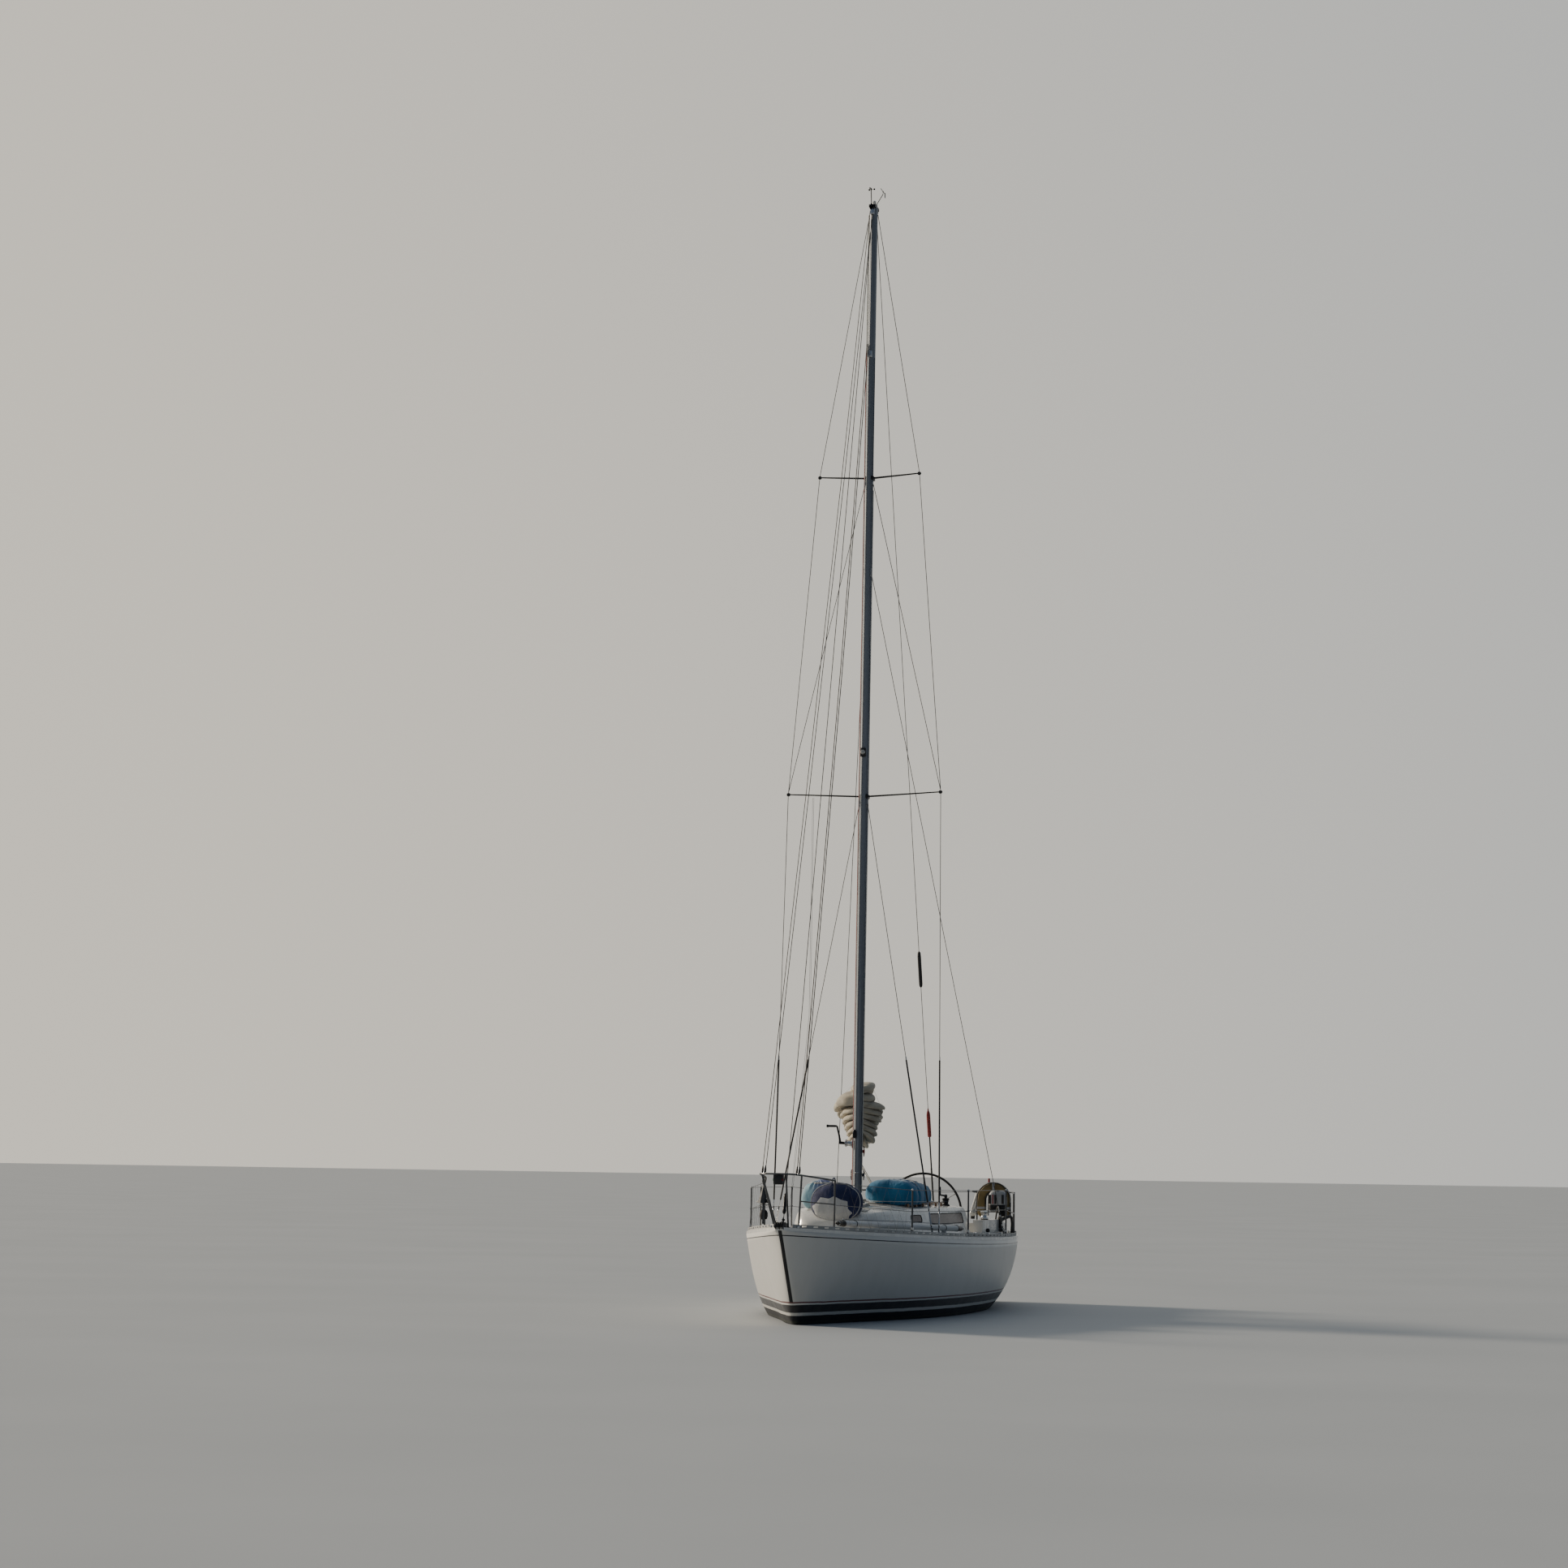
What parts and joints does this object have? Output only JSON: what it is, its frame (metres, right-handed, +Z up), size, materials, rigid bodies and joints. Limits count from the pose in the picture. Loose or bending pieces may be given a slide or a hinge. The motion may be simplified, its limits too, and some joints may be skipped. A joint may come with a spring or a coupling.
{
  "type": "sailing yacht",
  "caption": "Fin-keel sailing yacht afloat with mast, boom, rigging, hollow cabin, open cockpit, hinged lids, folding ladder and coupled wheel and rudder.",
  "frame": {"origin": "on the waterline and the centreline, 5 m behind the stem head", "axes": "+X towards the bow, +Y to port, +Z up"},
  "size_m": [10.3732, 3.422, 18.3132],
  "materials": {
    "gelcoat": "gloss white gelcoat",
    "deck": "matt off-white moulded deck",
    "cast_iron": "dark antifouling paint on iron",
    "antifouling": "dark antifouling paint on laminate",
    "engine_paint": "grey-green engine enamel",
    "bronze": "polished bronze",
    "black_fittings": "black anodised",
    "stainless": "polished stainless steel",
    "anodised": "silver-grey anodised, satin",
    "bronze_anodised": "dark bronze anodised",
    "sailcloth": "cream woven sailcloth",
    "navy_cloth": "navy acrylic canvas",
    "turquoise_cloth": "turquoise acrylic canvas",
    "wheel_rim": "black leather on a steel rim",
    "smoked_acrylic": "brown tinted acrylic, gloss",
    "tan_foam": "tan woven cover on foam",
    "motor_paint": "gloss red"
  },
  "bodies": {
    "yacht": {"hull": "gelcoat", "deck": "deck", "coachroof": "gelcoat", "cockpit_moulding": "deck", "keel": "cast_iron", "engine_with_drive_leg": "engine_paint", "stemhead_fitting": "black_fittings", "pulpit": "stainless", "pushpit": "stainless", "mast": "anodised", "masthead_fitting": "black_fittings", "forestay": "stainless", "backstay": "stainless", "spinnaker_pole": "anodised", "sail_bag_navy": "navy_cloth", "sail_bag_turquoise": "turquoise_cloth", "covered_dinghy": "turquoise_cloth", "steering_pedestal": "gelcoat", "washboard": "smoked_acrylic", "plough_anchor": "cast_iron", "lifebuoy": "tan_foam", "outboard_motor": "motor_paint", "toe_rail_port": "bronze_anodised", "lifelines_port": "stainless", "cap_shroud_port": "stainless", "lower_shroud_port": "stainless", "running_backstay_port": "stainless", "window_port_forward": "smoked_acrylic", "window_port_main": "smoked_acrylic", "spreader_port_lower": "anodised", "spreader_port_upper": "anodised", "winch_coachroof_port": "stainless", "winch_cockpit_port": "stainless", "toe_rail_starboard": "bronze_anodised", "lifelines_starboard": "stainless", "cap_shroud_starboard": "stainless", "lower_shroud_starboard": "stainless", "running_backstay_starboard": "stainless", "window_starboard_forward": "smoked_acrylic", "window_starboard_main": "smoked_acrylic", "spreader_starboard_lower": "anodised", "spreader_starboard_upper": "anodised", "winch_coachroof_starboard": "stainless", "winch_cockpit_starboard": "stainless"},
    "boom": {"boom": "anodised", "flaked_mainsail": "sailcloth"},
    "steering_wheel": {"steering_wheel": "wheel_rim"},
    "rudder": {"rudder": "antifouling"},
    "propeller": {"propeller": "bronze"},
    "companionway_hatch": {"companionway_hatch": "gelcoat"},
    "forehatch": {"forehatch": "smoked_acrylic"},
    "anchor_locker_lid": {"anchor_locker_lid": "deck"},
    "locker_lid_port": {"locker_lid_port": "deck"},
    "locker_lid_starboard": {"locker_lid_starboard": "deck"},
    "boarding_ladder": {"boarding_ladder": "stainless"},
    "wind_vane": {"wind_vane": "black_fittings"},
    "anemometer": {"anemometer": "black_fittings"}
  },
  "joints": [
    {"name": "wheel_turn", "type": "hinge", "parent": "yacht", "child": "steering_wheel", "pos_m": [-3.64, 0, 1.385], "axis": [1, 0, 0], "range_deg": [-290, 290]},
    {"name": "rudder_turn", "type": "hinge", "parent": "yacht", "child": "rudder", "pos_m": [-4, 0, 0], "axis": [0, 0, 1], "range_deg": [-35, 35]},
    {"name": "propeller_spin", "type": "hinge", "parent": "yacht", "child": "propeller", "pos_m": [-2.755, 0, -0.93], "axis": [1, 0, 0], "continuous": true},
    {"name": "boom_swing", "type": "hinge", "parent": "yacht", "child": "boom", "pos_m": [0.6178, 0, 2.46], "axis": [0, 0, 1], "range_deg": [-31, 1]},
    {"name": "companionway_slide", "type": "slide", "parent": "yacht", "child": "companionway_hatch", "axis": [1, 0, 0], "range_m": [0, 0.56]},
    {"name": "forehatch_lift", "type": "hinge", "parent": "yacht", "child": "forehatch", "pos_m": [1.67, 0, 1.543], "axis": [0, 1, 0], "range_deg": [0, 95]},
    {"name": "anchor_lid_lift", "type": "hinge", "parent": "yacht", "child": "anchor_locker_lid", "pos_m": [3.94, 0, 1.27], "axis": [0, -1, 0], "range_deg": [0, 100]},
    {"name": "locker_port_lift", "type": "hinge", "parent": "yacht", "child": "locker_lid_port", "pos_m": [-2.96, 0.94, 0.8163], "axis": [-1, 0, 0], "range_deg": [0, 85]},
    {"name": "locker_starboard_lift", "type": "hinge", "parent": "yacht", "child": "locker_lid_starboard", "pos_m": [-2.96, -0.94, 0.8163], "axis": [1, 0, 0], "range_deg": [0, 85]},
    {"name": "ladder_fold", "type": "hinge", "parent": "yacht", "child": "boarding_ladder", "pos_m": [-4.8, -0.6, 1.13], "axis": [0, -1, 0], "range_deg": [0, 165]},
    {"name": "vane_spin", "type": "hinge", "parent": "yacht", "child": "wind_vane", "pos_m": [0.5082, 0.15, 16.44], "axis": [0, 0, 1], "continuous": true},
    {"name": "anemometer_spin", "type": "hinge", "parent": "yacht", "child": "anemometer", "pos_m": [0.5182, -0.03, 16.48], "axis": [0, 0, 1], "continuous": true}
  ],
  "couplings": [
    {"joint": "rudder_turn", "follows": "wheel_turn", "ratio": 0.1206}
  ]
}
